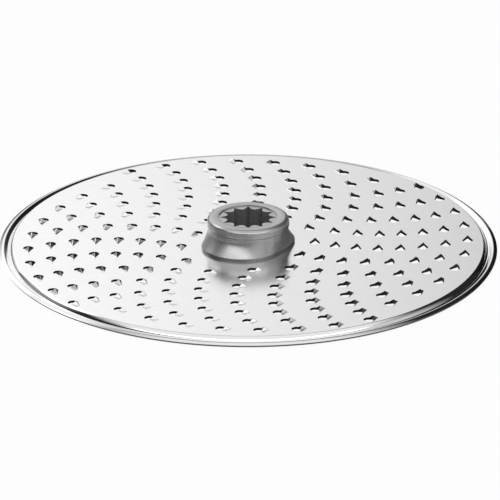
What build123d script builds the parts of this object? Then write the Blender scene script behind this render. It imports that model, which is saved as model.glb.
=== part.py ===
from build123d import *
import math
import os

# Grating disc for a food processor: one stamped steel plate and the drive hub moulded on to it.
# Millimetres. Z runs up the hub's axis, z = 0 is the plane that the disc stands on,
# +Y points away from the viewer. The teeth cut when the disc turns clockwise, seen from above.

# Plate
DISC_DIAMETER = 159.0
SHEET = 0.8

# Rim, bands of the sheet's upper side from the edge inward, depths below the flat top
EDGE_BAND = 1.25
EDGE_DEPTH = 1.45
CREST_BAND = 1.45
CREST_DEPTH = 0.7
VALLEY_LAND = 0.4
VALLEY_DEPTH = 1.55
WALL_BAND = 1.2
SHOULDER_BEVEL = 0.45

# Grating teeth, in rows that wind outward counter-clockwise
ROW_STARTS = 4
ROW_GAP = 7.0
TOOTH_SPACING = 12.02
FIRST_TOOTH = 45.8
ROW_MARGIN = 1.7
TOOTH_WIDTH = 2.9
TOOTH_HEIGHT = 1.1
TONGUE_LENGTH = 2.5
LIP_LEAN = 0.8
MOUTH_LENGTH = 2.5
MOUTH_CUTS = 5

# Drive hub, heights stacked on the flat top
NECK_DIAMETER = 25.7
NECK_HEIGHT = 1.75
FOOT_WAIST = 25.0
FOOT_SPREAD = 3.3
FOOT_ANGLE = 48.3
FOOT_SKEW = 25.6
FOOT_SKEW_ANGLE = 140.0
FOOT_POINTS = 24
FLANGE_EDGE = 0.85
FLARE_HEIGHT = 4.3
FLARE_HOLLOW = 1.2
FLARE_SECTIONS = 4
COLLAR_OVERHANG = 0.25
COLLAR_HEIGHT = 2.8
COLLAR_RADIUS = 1.1
COLLAR_STEPS = 2
KEY_SHOULDER = 2.4

# Splined socket
SPLINE_POINTS = 12
POINT_DIAMETER = 18.3
FLANK_DIAMETER = 12.6
RIB_RADIUS = 1.3
RECESS_MARGIN = 0.2
RECESS_DEPTH = 0.5

PLATE_TOP = VALLEY_DEPTH + SHEET
PLATE_BOTTOM = VALLEY_DEPTH
CREST_RADIUS = DISC_DIAMETER / 2 - EDGE_BAND
VALLEY_RADIUS = CREST_RADIUS - CREST_BAND
FLAT_RADIUS = VALLEY_RADIUS - VALLEY_LAND - WALL_BAND
ROW_PITCH = ROW_GAP * ROW_STARTS / (2 * math.pi)
NECK_RADIUS = NECK_DIAMETER / 2
NECK_BOTTOM = PLATE_TOP + FLANGE_EDGE + FLARE_HEIGHT
COLLAR_BOTTOM = NECK_BOTTOM + NECK_HEIGHT
HUB_TOP = COLLAR_BOTTOM + COLLAR_HEIGHT


def at_height(z, sketch):
    return Pos(0, 0, z) * sketch


def foot(share=1, drawn_in=0):
    """The hub's outline where its foot has spread by a share, from the round neck to the two-lobed flange."""
    points = []
    for step in range(FOOT_POINTS):
        azimuth = 360 * step / FOOT_POINTS
        swing = math.radians(2 * (azimuth - FOOT_ANGLE))
        lean = math.radians(FOOT_SKEW) * math.sin(swing + math.radians(FOOT_SKEW_ANGLE))
        lobe = FOOT_SPREAD * (1 + math.cos(swing + lean)) / 2
        radius = NECK_RADIUS + share * (FOOT_WAIST / 2 + lobe - NECK_RADIUS) - drawn_in
        points.append(Vector(radius, 0).rotate(Axis.Z, azimuth))
    return make_face(Spline(*points, periodic=True))


def straight_foot(bottom, top, drawn_in=0):
    """A straight length of the hub with the flange's outline, drawn in by a distance."""
    outline = foot(drawn_in=drawn_in)
    return loft([at_height(bottom, outline), at_height(top, outline)], ruled=True)


def plate_blank():
    """The pressed disc before its teeth: flat, step down, valley, crest and sloping edge."""
    shoulder = (FLAT_RADIUS, PLATE_TOP)
    wall_foot = (VALLEY_RADIUS - VALLEY_LAND, PLATE_TOP - VALLEY_DEPTH)
    slope_foot = (VALLEY_RADIUS, PLATE_TOP - VALLEY_DEPTH)
    crest = (CREST_RADIUS, PLATE_TOP - CREST_DEPTH)
    edge = (DISC_DIAMETER / 2, PLATE_TOP - EDGE_DEPTH)
    upper_side = Polyline((0, PLATE_TOP), shoulder, wall_foot, slope_foot, crest, edge)
    section = make_face(upper_side.wire().offset_2d(SHEET, kind=Kind.INTERSECTION, side=Side.RIGHT))
    bend = section.vertices().sort_by_distance(Vector(*shoulder))[0]
    return revolve(Plane.XZ * chamfer(bend, SHOULDER_BEVEL), Axis.Z)


def run_after(turn):
    """Length that a row has run from the centre after the given turn, in radians."""
    return ROW_PITCH / 2 * (turn * math.hypot(1, turn) + math.asinh(turn))


def turn_after(run):
    """Turn, in radians, at which a row has run the given length from the centre."""
    turn = math.sqrt(2 * run / ROW_PITCH)
    for _ in range(8):
        turn -= (run_after(turn) - run) / (ROW_PITCH * math.hypot(1, turn))
    return turn


def tooth_places():
    """Where each tooth's lip stands, x along the row; every other row starts one tooth later."""
    longest_run = run_after((FLAT_RADIUS - ROW_MARGIN) / ROW_PITCH)
    teeth_per_row = int((longest_run - FIRST_TOOTH) / TOOTH_SPACING)
    places = []
    for row in range(ROW_STARTS):
        late = (row + 1) % 2
        for index in range(late, late + teeth_per_row):
            turn = turn_after(FIRST_TOOTH + index * TOOTH_SPACING)
            azimuth = turn - row * 2 * math.pi / ROW_STARTS
            lip = Vector(ROW_PITCH * turn, 0).rotate(Axis.Z, math.degrees(azimuth))
            heading = math.degrees(azimuth + math.atan(turn))
            places.append(Pos(lip.X, lip.Y, PLATE_TOP) * Rot(0, 0, heading))
    return places


def tooth_footprint():
    """What is cut from the flat sheet: a round mouth, in a few straight cuts, and the tongue behind."""
    tip = (TONGUE_LENGTH, 0)
    sweep = ThreePointArc((0, TOOTH_WIDTH / 2), (-MOUTH_LENGTH, 0), (0, -TOOTH_WIDTH / 2))
    corners = [sweep @ (cut / MOUTH_CUTS) for cut in range(MOUTH_CUTS + 1)]
    outline = make_face(Polyline(tip, *corners, close=True))
    return extrude(at_height(-2 * SHEET, outline), 3 * SHEET)


def tooth_tongue():
    """The tongue bent up to a pointed lip: two facets of sheet that meet in a ridge."""
    tip = (TONGUE_LENGTH, 0, 0)
    apex = (LIP_LEAN, 0, TOOTH_HEIGHT)
    halves = []
    for side in (-1, 1):
        corner = (0, side * TOOTH_WIDTH / 2, 0)
        facet = make_face(Polyline(tip, apex, corner, close=True))
        halves.append(Solid.extrude(facet.face(), Vector(0, 0, -SHEET)))
    return halves[0].fuse(halves[1])


def grating_plate():
    places = tooth_places()
    footprint = tooth_footprint()
    tongue = tooth_tongue()
    plate = plate_blank() - straight_foot(PLATE_BOTTOM, PLATE_TOP, KEY_SHOULDER)
    plate = plate.solid().cut(*[place * footprint for place in places])
    return plate.fuse(*[place * tongue for place in places], glue=True)


def star():
    """The socket's outline: sharp points outward and, where the flanks meet inward, round ribs."""
    step = 360 / SPLINE_POINTS
    point = Vector(0, POINT_DIAMETER / 2)
    rib = Vector(0, FLANK_DIAMETER / 2)
    corners = []
    for index in range(SPLINE_POINTS):
        corners.append(point.rotate(Axis.Z, step * index))
        corners.append(rib.rotate(Axis.Z, step * (index + 0.5)))
    outline = make_face(Polyline(*corners, close=True))
    inner = outline.vertices().sort_by_distance(Vector(0, 0))[:SPLINE_POINTS]
    return fillet(inner, RIB_RADIUS)


def flare():
    """The foot's slightly hollow side, which spreads from the round neck to the flange, in ruled bands."""
    sections = []
    for step in range(FLARE_SECTIONS - 1):
        rise = step / (FLARE_SECTIONS - 1)
        height = PLATE_TOP + FLANGE_EDGE + FLARE_HEIGHT * rise
        sections.append(at_height(height, foot((1 - rise) ** FLARE_HOLLOW)))
    sections.append(at_height(NECK_BOTTOM, Circle(NECK_RADIUS)))
    return loft(sections, ruled=True)


def collar():
    """The gripping ring round the top, its upper edge rounded in a few bands."""
    radius = NECK_RADIUS + COLLAR_OVERHANG
    sections = [at_height(COLLAR_BOTTOM, Circle(radius))]
    for step in range(COLLAR_STEPS + 1):
        turn = math.pi / 2 * step / COLLAR_STEPS
        height = HUB_TOP - COLLAR_RADIUS * (1 - math.sin(turn))
        sections.append(at_height(height, Circle(radius - COLLAR_RADIUS * (1 - math.cos(turn)))))
    return loft(sections, ruled=True)


def drive_hub():
    hub = straight_foot(0, PLATE_BOTTOM)
    hub += straight_foot(PLATE_BOTTOM, PLATE_TOP, KEY_SHOULDER)
    hub += straight_foot(PLATE_TOP, PLATE_TOP + FLANGE_EDGE)
    hub += flare()
    hub += extrude(at_height(NECK_BOTTOM, Circle(NECK_RADIUS)), NECK_HEIGHT)
    hub += collar()
    recess = Circle(POINT_DIAMETER / 2 + RECESS_MARGIN)
    hub -= extrude(at_height(HUB_TOP - RECESS_DEPTH, recess), RECESS_DEPTH)
    return hub - extrude(star(), HUB_TOP)


os.makedirs("parts", exist_ok=True)
for name, piece in (("grating_plate", grating_plate()), ("drive_hub", drive_hub())):
    print(name, len(piece.solids()), "solid", round(piece.volume, 1), "mm3", "valid", piece.is_valid)
    export_step(piece, "parts/" + name + ".step")
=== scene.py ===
import math

import bmesh
import bpy
from mathutils import Matrix, Vector


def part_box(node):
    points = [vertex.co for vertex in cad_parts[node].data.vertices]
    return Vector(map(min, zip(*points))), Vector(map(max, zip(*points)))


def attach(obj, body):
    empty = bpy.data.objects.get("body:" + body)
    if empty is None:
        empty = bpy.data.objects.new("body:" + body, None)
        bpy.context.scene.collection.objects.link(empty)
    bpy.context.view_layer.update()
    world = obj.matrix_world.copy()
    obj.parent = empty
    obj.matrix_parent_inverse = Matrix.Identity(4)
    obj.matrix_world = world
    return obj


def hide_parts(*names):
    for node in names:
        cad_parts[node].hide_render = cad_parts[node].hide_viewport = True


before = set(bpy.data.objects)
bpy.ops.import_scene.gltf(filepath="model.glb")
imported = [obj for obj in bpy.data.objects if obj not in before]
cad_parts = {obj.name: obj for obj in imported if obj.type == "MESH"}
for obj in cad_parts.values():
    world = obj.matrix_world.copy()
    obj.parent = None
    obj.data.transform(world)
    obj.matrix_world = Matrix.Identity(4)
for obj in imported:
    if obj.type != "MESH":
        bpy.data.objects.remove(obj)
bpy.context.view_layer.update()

# Grating disc of a food processor: a polished steel plate with raised teeth and a grey moulded hub.
# Metres, in the same frame as the solids: Z up the hub's axis, +Y away from the viewer.

MM = 0.001
_, plate_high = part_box("grating_plate")
_, hub_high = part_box("drive_hub")

# Plate and rim
DISC_RADIUS = plate_high.x
SHEET = 0.8 * MM
EDGE_BAND = 1.25 * MM
EDGE_DEPTH = 1.45 * MM
CREST_BAND = 1.45 * MM
CREST_DEPTH = 0.7 * MM
CREST_ROUND = 0.5 * MM
VALLEY_LAND = 0.4 * MM
VALLEY_DEPTH = 1.55 * MM
VALLEY_ROUND = 0.18 * MM
WALL_BAND = 1.2 * MM
WALL_BULGE = 0.16 * MM
WALL_STEPS = 6
SHOULDER_ROUND = 0.15 * MM
SHOULDER_BORDER = 0.02 * MM
BEND_STEPS = 4
RIM_STEPS = 256
PLATE_TOP = VALLEY_DEPTH + SHEET
CREST_RADIUS = DISC_RADIUS - EDGE_BAND
VALLEY_RADIUS = CREST_RADIUS - CREST_BAND
FLAT_RADIUS = VALLEY_RADIUS - VALLEY_LAND - WALL_BAND
RIM_START = FLAT_RADIUS - 1.2 * SHOULDER_ROUND

# Grating teeth
ROW_STARTS = 4
ROW_GAP = 7.0 * MM
TOOTH_SPACING = 12.02 * MM
FIRST_TOOTH = 45.8 * MM
TEETH_PER_ROW = 47
TOOTH_WIDTH = 2.9 * MM
TOOTH_HEIGHT = 1.1 * MM
TOOTH_BORDER = 0.16 * MM
TONGUE_LENGTH = 2.5 * MM
LIP_LEAN = 0.8 * MM
MOUTH_LENGTH = 2.5 * MM
MOUTH_STEPS = 16
FOLD_ROUND = 0.1 * MM
FOLD_STEPS = 2
FOLD_LEAST = math.radians(30)
ROW_PITCH = ROW_GAP * ROW_STARTS / (2 * math.pi)
TURN_TRIES = 8

# Hub
NECK_RADIUS = 12.85 * MM
NECK_HEIGHT = 1.75 * MM
FOOT_WAIST = 12.5 * MM
FOOT_SPREAD = 3.3 * MM
FOOT_ANGLE = math.radians(48.3)
FOOT_SKEW = math.radians(25.6)
FOOT_SKEW_ANGLE = math.radians(140)
FLANGE_EDGE = 0.85 * MM
FLANGE_ROUND = 0.15 * MM
FLANGE_ROUND_STEPS = 4
FLANGE_REACH = FOOT_WAIST - 0.1 * MM
FLARE_HEIGHT = 4.3 * MM
FLARE_HOLLOW = 1.2
FLARE_STEPS = 14
COLLAR_OVERHANG = 0.25 * MM
COLLAR_ROUND = 1.5 * MM
COLLAR_STEPS = 8
GROOVE = 0.3 * MM
KEY_SHOULDER = 2.4 * MM
HUB_STEPS = 192
FLANGE_TOP = PLATE_TOP + FLANGE_EDGE
NECK_BOTTOM = FLANGE_TOP + FLARE_HEIGHT
COLLAR_BOTTOM = NECK_BOTTOM + NECK_HEIGHT
HUB_TOP = hub_high.z

# Splined socket
SPLINE_POINTS = 12
POINT_RADIUS = 9.15 * MM
FLANK_RADIUS = 6.3 * MM
RIB_ROUND = 1.39 * MM
RIB_STEPS = 6
RECESS_RADIUS = POINT_RADIUS + 0.2 * MM
RECESS_DEPTH = 0.4 * MM
RECESS_ROUND = 0.12 * MM
RECESS_STEPS = 3
RECESS_REACH = RECESS_RADIUS + 0.05 * MM

# Meshes
SAME_LEVEL = 1e-7
SHARP_BEND = math.radians(28)


def mesh_object(name, mesh, finishes):
    """Puts a mesh into the scene with its finishes."""
    data = bpy.data.meshes.new(name)
    mesh.to_mesh(data)
    mesh.free()
    for finish in finishes:
        data.materials.append(finish)
    made = bpy.data.objects.new(name, data)
    bpy.context.scene.collection.objects.link(made)
    return made


def piece(name, mesh, finishes, node):
    """Makes a finished mesh the piece that stands for a node."""
    made = mesh_object(name, mesh, finishes)
    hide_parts(node)
    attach(made, "root")


def chain(mesh, points):
    """A line of edges through the points."""
    dots = [mesh.verts.new(point) for point in points]
    for first, second in zip(dots, dots[1:]):
        mesh.edges.new((first, second))
    return dots


def soften(mesh, items, width, steps, affect="VERTICES", clamp=False):
    """Rounds the corners of a line of edges, or the edges of a skin."""
    bmesh.ops.bevel(mesh, geom=items, offset=width, offset_type="OFFSET", segments=steps, profile=0.5,
                    affect=affect, material=-1, clamp_overlap=clamp)


def turn_about_axis(mesh, steps):
    """Turns a line of edges about the axis into a closed skin."""
    bmesh.ops.spin(mesh, geom=mesh.verts[:] + mesh.edges[:], axis=(0, 0, 1), angle=2 * math.pi,
                   steps=steps, use_merge=True)


def level_edges(mesh, height, inner=0, outer=math.inf):
    """Edges that run level at a height, between two distances from the axis."""
    found = []
    for edge in mesh.edges:
        if all(abs(dot.co.z - height) < SAME_LEVEL and inner < dot.co.xy.length < outer for dot in edge.verts):
            found.append(edge)
    return found


def fill_level(mesh, height):
    """Fills what is open between the level edges at a height."""
    edges = [edge for edge in level_edges(mesh, height) if len(edge.link_faces) < 2]
    bmesh.ops.triangle_fill(mesh, use_beauty=True, use_dissolve=False, edges=edges, normal=(0, 0, 1))


def shade_smooth(mesh):
    for face in mesh.faces:
        face.smooth = True


def mark_sharp_edges(mesh):
    for edge in mesh.edges:
        if len(edge.link_faces) == 2 and edge.calc_face_angle() > SHARP_BEND:
            edge.smooth = False


def turn_after(run):
    """Turn, in radians, at which a row has run the given length from the centre."""
    turn = math.sqrt(2 * run / ROW_PITCH)
    for _ in range(TURN_TRIES):
        gone = ROW_PITCH / 2 * (turn * math.hypot(1, turn) + math.asinh(turn))
        turn -= (gone - run) / (ROW_PITCH * math.hypot(1, turn))
    return turn


def tooth_places():
    """Where each tooth's lip stands on the flat, x along the row; every other row starts one tooth later."""
    places = []
    for row in range(ROW_STARTS):
        late = (row + 1) % 2
        for index in range(late, late + TEETH_PER_ROW):
            turn = turn_after(FIRST_TOOTH + index * TOOTH_SPACING)
            azimuth = turn - row * 2 * math.pi / ROW_STARTS
            lip = Vector((math.cos(azimuth), math.sin(azimuth), 0)) * ROW_PITCH * turn
            places.append(Matrix.Translation(lip) @ Matrix.Rotation(azimuth + math.atan(turn), 4, "Z"))
    return places


def tooth():
    """One tooth on the flat: the folded tongue in a narrow flat border, and the line of the mouth."""
    mesh = bmesh.new()
    half = TOOTH_WIDTH / 2 - FOLD_ROUND
    apex = mesh.verts.new((LIP_LEAN, 0, TOOTH_HEIGHT))
    tip = mesh.verts.new((TONGUE_LENGTH, 0, 0))
    outer_tip = mesh.verts.new((TONGUE_LENGTH + 2 * TOOTH_BORDER, 0, 0))
    for side in (1, -1):
        foot = mesh.verts.new((0, side * half, 0))
        outer_foot = mesh.verts.new((0, side * (half + TOOTH_BORDER), 0))
        mesh.faces.new((tip, foot, apex)[::side])
        mesh.faces.new((tip, outer_tip, outer_foot, foot)[::side])
    mesh.normal_update()
    folds = [edge for edge in mesh.edges if edge.calc_face_angle(0) > FOLD_LEAST]
    soften(mesh, folds, FOLD_ROUND, FOLD_STEPS, "EDGES")
    bmesh.ops.recalc_face_normals(mesh, faces=mesh.faces)
    left, right = (min(mesh.verts, key=lambda dot: (dot.co - Vector((0, side * (half + FOLD_ROUND), 0))).length)
                   for side in (1, -1))
    mouth_line(mesh, left, right)
    data = bpy.data.meshes.new("tooth")
    mesh.to_mesh(data)
    mesh.free()
    return data


def mouth_line(mesh, left, right):
    """The round line of a tooth's mouth, from one foot of the tongue to the other."""
    reach = left.co.y
    radius = (reach ** 2 + MOUTH_LENGTH ** 2) / (2 * MOUTH_LENGTH)
    centre = Vector((radius - MOUTH_LENGTH, 0, 0))
    sweep = 2 * math.pi - 2 * math.atan2(reach, -centre.x)
    arc = [left]
    for step in range(1, MOUTH_STEPS):
        turn = Matrix.Rotation(sweep * step / MOUTH_STEPS, 3, "Z")
        arc.append(mesh.verts.new(centre + turn @ (left.co - centre)))
    arc.append(right)
    for first, second in zip(arc, arc[1:]):
        mesh.edges.new((first, second))


def rim_band(mesh):
    """The pressed rim as one turned band: shoulder, slightly bulged wall, valley, crest and sloping edge."""
    shoulder = Vector((FLAT_RADIUS, 0))
    wall_foot = Vector((VALLEY_RADIUS - VALLEY_LAND, -VALLEY_DEPTH))
    fall = wall_foot - shoulder
    bulge = Vector((-fall.y, fall.x)).normalized() * WALL_BULGE
    points = [(FLAT_RADIUS - SHOULDER_ROUND - SHOULDER_BORDER, 0)]
    for step in range(WALL_STEPS + 1):
        points.append(shoulder + fall * step / WALL_STEPS + bulge * 4 * step / WALL_STEPS * (1 - step / WALL_STEPS))
    points += [(VALLEY_RADIUS, -VALLEY_DEPTH), (CREST_RADIUS, -CREST_DEPTH), (DISC_RADIUS, -EDGE_DEPTH)]
    dots = chain(mesh, [(radius, 0, height) for radius, height in points])
    _, at_shoulder, *_, at_wall_foot, at_slope_foot, at_crest, _ = dots
    for dot, width in ((at_shoulder, SHOULDER_ROUND), (at_wall_foot, VALLEY_ROUND), (at_slope_foot, VALLEY_ROUND),
                       (at_crest, CREST_ROUND)):
        soften(mesh, [dot], width, BEND_STEPS)
    turn_about_axis(mesh, RIM_STEPS)
    shade_smooth(mesh)


def foot_reach(azimuth):
    """Distance from the axis to the edge of the hub's two-lobed flange."""
    swing = 2 * (azimuth - FOOT_ANGLE)
    lean = FOOT_SKEW * math.sin(swing + FOOT_SKEW_ANGLE)
    return FOOT_WAIST + FOOT_SPREAD * (1 + math.cos(swing + lean)) / 2


def key_hole(mesh):
    """The hole in the sheet that the hub is moulded through."""
    points = []
    for step in range(HUB_STEPS):
        azimuth = 2 * math.pi * step / HUB_STEPS
        reach = foot_reach(azimuth) - KEY_SHOULDER
        points.append((reach * math.cos(azimuth), reach * math.sin(azimuth), 0))
    dots = chain(mesh, points)
    mesh.edges.new((dots[-1], dots[0]))


def thicken(mesh):
    """Gives the sheet its thickness below the upper side, and tells the cut faces from the rolled ones."""
    drops = {}
    for dot in mesh.verts:
        drops[dot.index] = Vector((0, 0, -SHEET))
        if dot.co.xy.length > RIM_START:
            drops[dot.index] = dot.normal * dot.calc_shell_factor() * -SHEET
    upper = mesh.verts[:]
    upper_count = len(upper)
    grown = bmesh.ops.extrude_face_region(mesh, geom=mesh.faces[:], use_keep_orig=True)
    places = {tuple(dot.co): dot.index for dot in upper}
    for item in grown["geom"]:
        if isinstance(item, bmesh.types.BMVert):
            item.co += drops[places[tuple(item.co)]]
    mesh.verts.index_update()
    for face in mesh.faces:
        if len({dot.index < upper_count for dot in face.verts}) == 2:
            face.material_index = 1
            face.smooth = True
    bmesh.ops.recalc_face_normals(mesh, faces=mesh.faces)


def steel_plate(finishes):
    """The plate's upper side, built at height 0, then thickened and lifted to its place."""
    mesh = bmesh.new()
    rim_band(mesh)
    one_tooth = tooth()
    for place in tooth_places():
        copy = one_tooth.copy()
        copy.transform(place)
        mesh.from_mesh(copy)
        bpy.data.meshes.remove(copy)
    bpy.data.meshes.remove(one_tooth)
    key_hole(mesh)
    fill_level(mesh, 0)
    bmesh.ops.recalc_face_normals(mesh, faces=mesh.faces)
    if sum(face.normal.z * face.calc_area() for face in mesh.faces) < 0:
        bmesh.ops.reverse_faces(mesh, faces=mesh.faces)
    mesh.verts.index_update()
    mesh.normal_update()
    thicken(mesh)
    mark_sharp_edges(mesh)
    bmesh.ops.translate(mesh, vec=(0, 0, PLATE_TOP), verts=mesh.verts)
    piece("steel_grating_plate", mesh, finishes, "grating_plate")


def hub_profile(mesh):
    """Half section of the hub with its foot drawn in, from the socket's recess over the collar to the underside."""
    collar = NECK_RADIUS + COLLAR_OVERHANG
    groove = NECK_RADIUS - GROOVE
    waist = NECK_RADIUS - KEY_SHOULDER
    points = [(RECESS_RADIUS, HUB_TOP - RECESS_DEPTH), (RECESS_RADIUS, HUB_TOP)]
    for step in range(COLLAR_STEPS + 1):
        turn = math.pi / 2 * step / COLLAR_STEPS
        radius = collar - COLLAR_ROUND * (1 - math.sin(turn))
        points.append((radius, HUB_TOP - COLLAR_ROUND * (1 - math.cos(turn))))
    points += [(collar, COLLAR_BOTTOM), (groove, COLLAR_BOTTOM)]
    points += [(groove, COLLAR_BOTTOM - GROOVE), (NECK_RADIUS, COLLAR_BOTTOM - GROOVE)]
    for step in range(FLARE_STEPS + 1):
        points.append((NECK_RADIUS, NECK_BOTTOM - FLARE_HEIGHT * step / FLARE_STEPS))
    points += [(NECK_RADIUS, PLATE_TOP), (waist, PLATE_TOP)]
    points += [(waist, PLATE_TOP - SHEET), (NECK_RADIUS, PLATE_TOP - SHEET), (NECK_RADIUS, 0)]
    chain(mesh, [(radius, 0, height) for radius, height in points])


def spread_share(height):
    """How far the foot has spread from the round neck to the flange at a height."""
    if height >= NECK_BOTTOM:
        return 0
    rise = max((height - FLANGE_TOP) / FLARE_HEIGHT, 0)
    return (1 - rise) ** FLARE_HOLLOW


def socket_walls(mesh, top):
    """The splined socket from a height down to the underside: sharp points outward, round ribs inward."""
    dots = []
    for index in range(2 * SPLINE_POINTS):
        radius = FLANK_RADIUS if index % 2 else POINT_RADIUS
        turn = math.pi / 2 + math.pi * index / SPLINE_POINTS
        dots.append(mesh.verts.new((radius * math.cos(turn), radius * math.sin(turn), top)))
    for index, dot in enumerate(dots):
        mesh.edges.new((dots[index - 1], dot))
    soften(mesh, dots[1::2], RIB_ROUND, RIB_STEPS)
    star = [edge for edge in mesh.edges if not edge.link_faces]
    walls = bmesh.ops.extrude_edge_only(mesh, edges=star)
    lower = [item for item in walls["geom"] if isinstance(item, bmesh.types.BMVert)]
    bmesh.ops.translate(mesh, vec=(0, 0, -top), verts=lower)


def moulded_hub(finishes):
    """The hub: a turned section whose foot is spread to two lobes, with the splined socket through it."""
    mesh = bmesh.new()
    hub_profile(mesh)
    turn_about_axis(mesh, HUB_STEPS)
    for dot in mesh.verts:
        radius = dot.co.xy.length
        spread = spread_share(dot.co.z) * (foot_reach(math.atan2(dot.co.y, dot.co.x)) - NECK_RADIUS)
        dot.co.xy *= (radius + spread) / radius
    recess_floor = HUB_TOP - RECESS_DEPTH
    socket_walls(mesh, recess_floor)
    for height in (recess_floor, 0):
        fill_level(mesh, height)
    bmesh.ops.remove_doubles(mesh, verts=mesh.verts, dist=SAME_LEVEL)
    bmesh.ops.recalc_face_normals(mesh, faces=mesh.faces)
    flange_line = level_edges(mesh, FLANGE_TOP, inner=FLANGE_REACH)
    soften(mesh, flange_line, FLANGE_ROUND, FLANGE_ROUND_STEPS, "EDGES", clamp=True)
    recess_line = level_edges(mesh, HUB_TOP, outer=RECESS_REACH)
    soften(mesh, recess_line, RECESS_ROUND, RECESS_STEPS, "EDGES", clamp=True)
    shade_smooth(mesh)
    mark_sharp_edges(mesh)
    piece("moulded_drive_hub", mesh, finishes, "drive_hub")


class Nodes:
    """A node tree, with short calls to add nodes and feed their inputs."""

    def __init__(self, tree):
        self.tree = tree

    def node(self, kind, **values):
        made = self.tree.nodes.new(kind)
        for name, value in values.items():
            setattr(made, name, value)
        return made

    def feed(self, value, socket):
        """Gives an input a plain value or another node's output."""
        if isinstance(value, bpy.types.NodeSocket):
            self.tree.links.new(value, socket)
        else:
            socket.default_value = value

    def math(self, operation, *values):
        made = self.node("ShaderNodeMath", operation=operation)
        for value, socket in zip(values, made.inputs):
            self.feed(value, socket)
        return made.outputs[0]

    def fade(self, source, start, stop, first, last):
        """Runs from first to last while the source runs from start to stop."""
        made = self.node("ShaderNodeMapRange")
        for name, value in zip(("From Min", "From Max", "To Min", "To Max"), (start, stop, first, last)):
            made.inputs[name].default_value = value
        self.feed(source, made.inputs["Value"])
        return made.outputs["Result"]

    def ray_is(self, kind):
        """1 for rays of a kind, such as Camera, and 0 for the others."""
        return self.node("ShaderNodeLightPath").outputs[f"Is {kind} Ray"]


class Finish(Nodes):
    """A material's nodes, with patterns placed by the object's own coordinates."""

    PATTERN_LOW = 0.3
    PATTERN_HIGH = 0.7

    def __init__(self, name):
        self.material = bpy.data.materials.new(name)
        self.material.use_nodes = True
        super().__init__(self.material.node_tree)
        self.shader = self.tree.nodes["Principled BSDF"]
        self.place = self.node("ShaderNodeTexCoord").outputs["Object"]

    def give(self, name, value):
        """Sets one of the shader's inputs."""
        self.feed(value, self.shader.inputs[name])

    def surface(self, shader):
        """Shows another shader in place of the material's own."""
        self.feed(shader, self.tree.nodes["Material Output"].inputs["Surface"])

    def noise(self, scale, detail):
        made = self.node("ShaderNodeTexNoise")
        made.inputs["Scale"].default_value = scale
        made.inputs["Detail"].default_value = detail
        self.feed(self.place, made.inputs["Vector"])
        return made.outputs["Fac"]

    def spread(self, pattern, low, high):
        """Maps a pattern's middle range to low and high."""
        return self.fade(pattern, self.PATTERN_LOW, self.PATTERN_HIGH, low, high)

    def tint(self, pattern, dark, light):
        made = self.node("ShaderNodeValToRGB")
        made.color_ramp.elements[0].color = (*dark, 1)
        made.color_ramp.elements[1].color = (*light, 1)
        self.feed(pattern, made.inputs["Fac"])
        return made.outputs["Color"]

    def bump(self, pattern, depth):
        made = self.node("ShaderNodeBump")
        made.inputs["Strength"].default_value = 1
        made.inputs["Distance"].default_value = depth
        self.feed(pattern, made.inputs["Height"])
        self.give("Normal", made.outputs["Normal"])

    def along(self, axis):
        made = self.node("ShaderNodeSeparateXYZ")
        self.feed(self.place, made.inputs[0])
        return made.outputs[axis]

    def from_origin(self):
        made = self.node("ShaderNodeVectorMath", operation="LENGTH")
        self.feed(self.place, made.inputs[0])
        return made.outputs["Value"]

    def glow(self, strength):
        made = self.node("ShaderNodeEmission")
        self.feed(strength, made.inputs["Strength"])
        return made.outputs[0]

    def clear(self):
        return self.node("ShaderNodeBsdfTransparent").outputs[0]

    def blend(self, share, first, second):
        """The first shader where the share is 0 and the second where it is 1."""
        made = self.node("ShaderNodeMixShader")
        for value, socket in zip((share, first, second), made.inputs):
            self.feed(value, socket)
        return made.outputs[0]


# Finishes: colours from dark to light, and roughness from low to high
STEEL_COLOURS = ((0.86, 0.865, 0.87), (0.9, 0.9, 0.9))
STEEL_ROUGHNESS = (0.19, 0.22)
RIM_ROUGHNESS = 0.09
RIM_BLEND = 0.5 * MM
CUT_COLOURS = ((0.2, 0.2, 0.203), (0.3, 0.3, 0.3))
CUT_ROUGHNESS = (0.22, 0.34)
HUB_COLOURS = ((0.47, 0.47, 0.472), (0.53, 0.53, 0.532))
HUB_ROUGHNESS = (0.26, 0.31)
HUB_METALLIC = 0.8
HUB_GRAIN_DEPTH = 0.006 * MM
# Painted shade: the share of the hub's grey that is kept on the flange's upright edge.
FLANGE_PAINTED_SHADE = 0.5


def polished_steel():
    """Rolled steel, smoother on the pressed rim than on the flat."""
    finish = Finish("polished_steel")
    finish.give("Metallic", 1)
    finish.give("Base Color", finish.tint(finish.noise(scale=90, detail=3), *STEEL_COLOURS))
    polish = finish.node("ShaderNodeMix", data_type="FLOAT")
    on_rim = finish.fade(finish.from_origin(), FLAT_RADIUS - RIM_BLEND, FLAT_RADIUS + RIM_BLEND, 0, 1)
    finish.feed(on_rim, polish.inputs["Factor"])
    finish.feed(finish.spread(finish.noise(scale=400, detail=4), *STEEL_ROUGHNESS), polish.inputs["A"])
    finish.feed(RIM_ROUGHNESS, polish.inputs["B"])
    finish.give("Roughness", polish.outputs["Result"])
    return finish.material


def sheared_steel():
    """The duller cut faces of the sheet."""
    finish = Finish("sheared_steel")
    finish.give("Metallic", 1)
    streak = finish.noise(scale=1500, detail=2)
    finish.give("Base Color", finish.tint(streak, *CUT_COLOURS))
    finish.give("Roughness", finish.spread(streak, *CUT_ROUGHNESS))
    return finish.material


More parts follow.
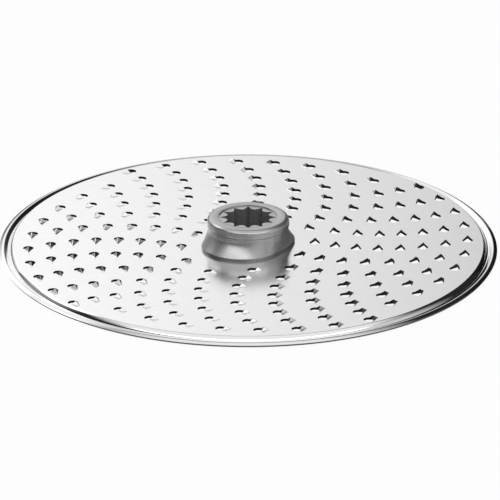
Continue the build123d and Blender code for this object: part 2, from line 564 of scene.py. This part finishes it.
def grey_plastic():
    """Satin grey with a fine grain; painted shade darkens the flange's upright edge."""
    finish = Finish("grey_plastic")
    finish.give("Metallic", HUB_METALLIC)
    # Painted shade: the base colour is darkened below the flange's top. It stands in for the dark that the upright
    # edge mirrors.
    painted_shade_band = finish.math("LESS_THAN", finish.along("Z"), FLANGE_TOP - FLANGE_ROUND / 2)
    grey = finish.node("ShaderNodeVectorMath", operation="SCALE")
    finish.feed(finish.tint(finish.noise(scale=260, detail=4), *HUB_COLOURS), grey.inputs[0])
    finish.feed(finish.math("MULTIPLY_ADD", painted_shade_band, FLANGE_PAINTED_SHADE - 1, 1), grey.inputs["Scale"])
    finish.give("Base Color", grey.outputs["Vector"])
    grain = finish.noise(scale=5200, detail=2)
    finish.give("Roughness", finish.spread(grain, *HUB_ROUGHNESS))
    finish.bump(grain, HUB_GRAIN_DEPTH)
    return finish.material


# Camera
CAMERA_DISTANCE = 46.5 * DISC_RADIUS
CAMERA_RISE = math.radians(22.52)
CAMERA_CLIP = 20
HALF_FRAME = 1.004 * DISC_RADIUS
FRAME_PIXELS = 500
DISC_CENTRE_PIXEL = (247.656, 243.702)

# Floor
FLOOR_SIZE = 8.0
FLOOR_DROP = 0.02 * MM
FLOOR_COLOUR = (0.9, 0.9, 0.9, 1)
FLOOR_ROUGHNESS = 0.9
CAMERA_WHITE = 0.94
# Painted shadow in reflections: within this distance beyond the disc's edge, metal sees the floor as a faint dark
# glow and not as it is lit.
PAINTED_SHADOW_REACH = 40 * MM
PAINTED_SHADOW_DARK = 0.03
EDGE_LIGHT = 1 * MM

# Backdrop, with its fades: axis, where the fade starts and stops, and its first and last strength
BACKDROP_AWAY = 1.0
BACKDROP_WIDTH = 2.0
BACKDROP_HEIGHT = 0.9
BACKDROP_GLOW = ("X", -0.09, 0.41, 1.15, 0.15)
BACKDROP_RIGHT = ("X", 0.12, 0.26, 1, 0.08)
BACKDROP_FOOT = ("Z", 0.02, 0.36, 0.05, 1)

# Lights of the world: direction, the cosines where it starts and is full, and its least and most strength
UP = (0, 0, 1)
DOME = ((0, -0.42, 0.91), 0.52, 0.76, 0, 0.9)
DOME_FOOT = (UP, 0.38, 0.54, 0, 1)
STRIP = ((0.02, -1, 0), 0.25, 0.5, 0, 3)
STRIP_FOOT = (UP, 0.46, 0.58, 0, 1)
STRIP_TOP = (UP, 0.7, 0.62, 0, 1)
FRONT_FILL = ((0, -1, 0.2), 0.3, 0.9, 0.02, 0.08)
RIGHT_FILL = ((0.8, -0.55, 0.2), 0.55, 0.9, 0, 0.65)
LEFT_FILL = ((-0.82, 0.45, 0.36), 0.9, 0.98, 0, 0.3)
BACK_GLOW = ((-0.5, 0.6, 0.63), 0.9, 0.97, 0, 0.95)
LEFT_GLOW = ((-0.66, 0.4, 0.64), 0.955, 0.99, 0, 2.6)


def studio_sheet(name, size, place, finish):
    """A flat sheet for the studio, not part of the object."""
    mesh = bmesh.new()
    bmesh.ops.create_grid(mesh, x_segments=1, y_segments=1, size=size / 2, matrix=place)
    made = mesh_object(name, mesh, [finish])


def floor_white():
    """White floor whose shading keeps the shadow. Metal sees a painted shadow on it near the disc, a faint dark
    glow, but for a lit ring at the disc's edge. It is clear from below."""
    finish = Finish("floor_white")
    finish.give("Base Color", FLOOR_COLOUR)
    finish.give("Roughness", FLOOR_ROUGHNESS)
    finish.give("Specular IOR Level", 0)
    away = finish.from_origin()
    near_disc = finish.math("LESS_THAN", away, DISC_RADIUS + PAINTED_SHADOW_REACH)
    at_edge = finish.math("COMPARE", away, DISC_RADIUS, EDGE_LIGHT)
    white = finish.math("MULTIPLY", finish.ray_is("Camera"), CAMERA_WHITE)
    # Painted shadow: glossy rays near the disc see a faint dark glow in place of the lit floor, except in the ring
    # at the edge.
    dark = finish.math("MULTIPLY", finish.ray_is("Glossy"), finish.math("SUBTRACT", near_disc, at_edge))
    seen = finish.blend(white, finish.shader.outputs[0], finish.glow(1))
    mirrored = finish.blend(dark, seen, finish.glow(PAINTED_SHADOW_DARK))
    from_below = finish.node("ShaderNodeNewGeometry").outputs["Backfacing"]
    finish.surface(finish.blend(from_below, mirrored, finish.clear()))
    return finish.material


def backdrop_glow():
    """Backdrop that metal sees glow at the left and fade to the right and towards the floor. The camera sees
    through it."""
    finish = Finish("backdrop_glow")
    glow, right, foot = (finish.fade(finish.along(axis), *values)
                         for axis, *values in (BACKDROP_GLOW, BACKDROP_RIGHT, BACKDROP_FOOT))
    strength = finish.math("MULTIPLY", finish.math("MULTIPLY", glow, right), foot)
    finish.surface(finish.blend(finish.ray_is("Camera"), finish.glow(strength), finish.clear()))
    return finish.material


def studio_world():
    """A soft dome that leans to the front, a bright strip in front, faint fills, and glows at the back left.
    The camera sees white."""
    world = bpy.data.worlds.new("studio")
    bpy.context.scene.world = world
    world.use_nodes = True
    nodes = Nodes(world.node_tree)
    background = nodes.tree.nodes["Background"]
    nodes.feed((1, 1, 1, 1), background.inputs["Color"])
    heading = nodes.node("ShaderNodeTexCoord").outputs["Generated"]

    def light(direction, start, stop, least, most):
        """Light that grows as a heading comes nearer to the direction."""
        near = nodes.node("ShaderNodeVectorMath", operation="DOT_PRODUCT")
        nodes.feed(heading, near.inputs[0])
        nodes.feed(Vector(direction).normalized(), near.inputs[1])
        return nodes.fade(near.outputs["Value"], start, stop, least, most)

    dome = nodes.math("MULTIPLY", light(*DOME), light(*DOME_FOOT))
    strip = nodes.math("MULTIPLY", light(*STRIP), light(*STRIP_FOOT))
    strip = nodes.math("MULTIPLY", strip, light(*STRIP_TOP))
    strength = nodes.math("MAXIMUM", dome, strip)
    for extra in (FRONT_FILL, RIGHT_FILL, LEFT_FILL, BACK_GLOW, LEFT_GLOW):
        strength = nodes.math("MAXIMUM", strength, light(*extra))
    strength = nodes.math("MAXIMUM", strength, nodes.ray_is("Camera"))
    nodes.feed(strength, background.inputs["Strength"])


def photo_camera():
    data = bpy.data.cameras.new("photo_camera")
    made = bpy.data.objects.new("photo_camera", data)
    bpy.context.scene.collection.objects.link(made)
    back = Vector((0, -math.cos(CAMERA_RISE), math.sin(CAMERA_RISE)))
    made.location = Vector((0, 0, PLATE_TOP)) + back * CAMERA_DISTANCE
    made.rotation_euler = (math.pi / 2 - CAMERA_RISE, 0, 0)
    data.lens = data.sensor_width / 2 * CAMERA_DISTANCE / HALF_FRAME
    middle = (FRAME_PIXELS - 1) / 2
    data.shift_x = (middle - DISC_CENTRE_PIXEL[0]) / FRAME_PIXELS
    data.shift_y = (DISC_CENTRE_PIXEL[1] - middle) / FRAME_PIXELS
    data.clip_end = CAMERA_CLIP
    bpy.context.scene.camera = made


bpy.context.scene.view_settings.view_transform = "Standard"
steel_plate([polished_steel(), sheared_steel()])
moulded_hub([grey_plastic()])
studio_sheet("floor", FLOOR_SIZE, Matrix.Translation((0, 0, -FLOOR_DROP)), floor_white())
upright = Matrix.Translation((0, BACKDROP_AWAY, BACKDROP_HEIGHT / 2)) @ Matrix.Rotation(math.pi / 2, 4, "X")
lower = Matrix.Diagonal((1, BACKDROP_HEIGHT / BACKDROP_WIDTH, 1, 1))
studio_sheet("backdrop", BACKDROP_WIDTH, upright @ lower, backdrop_glow())
studio_world()
photo_camera()
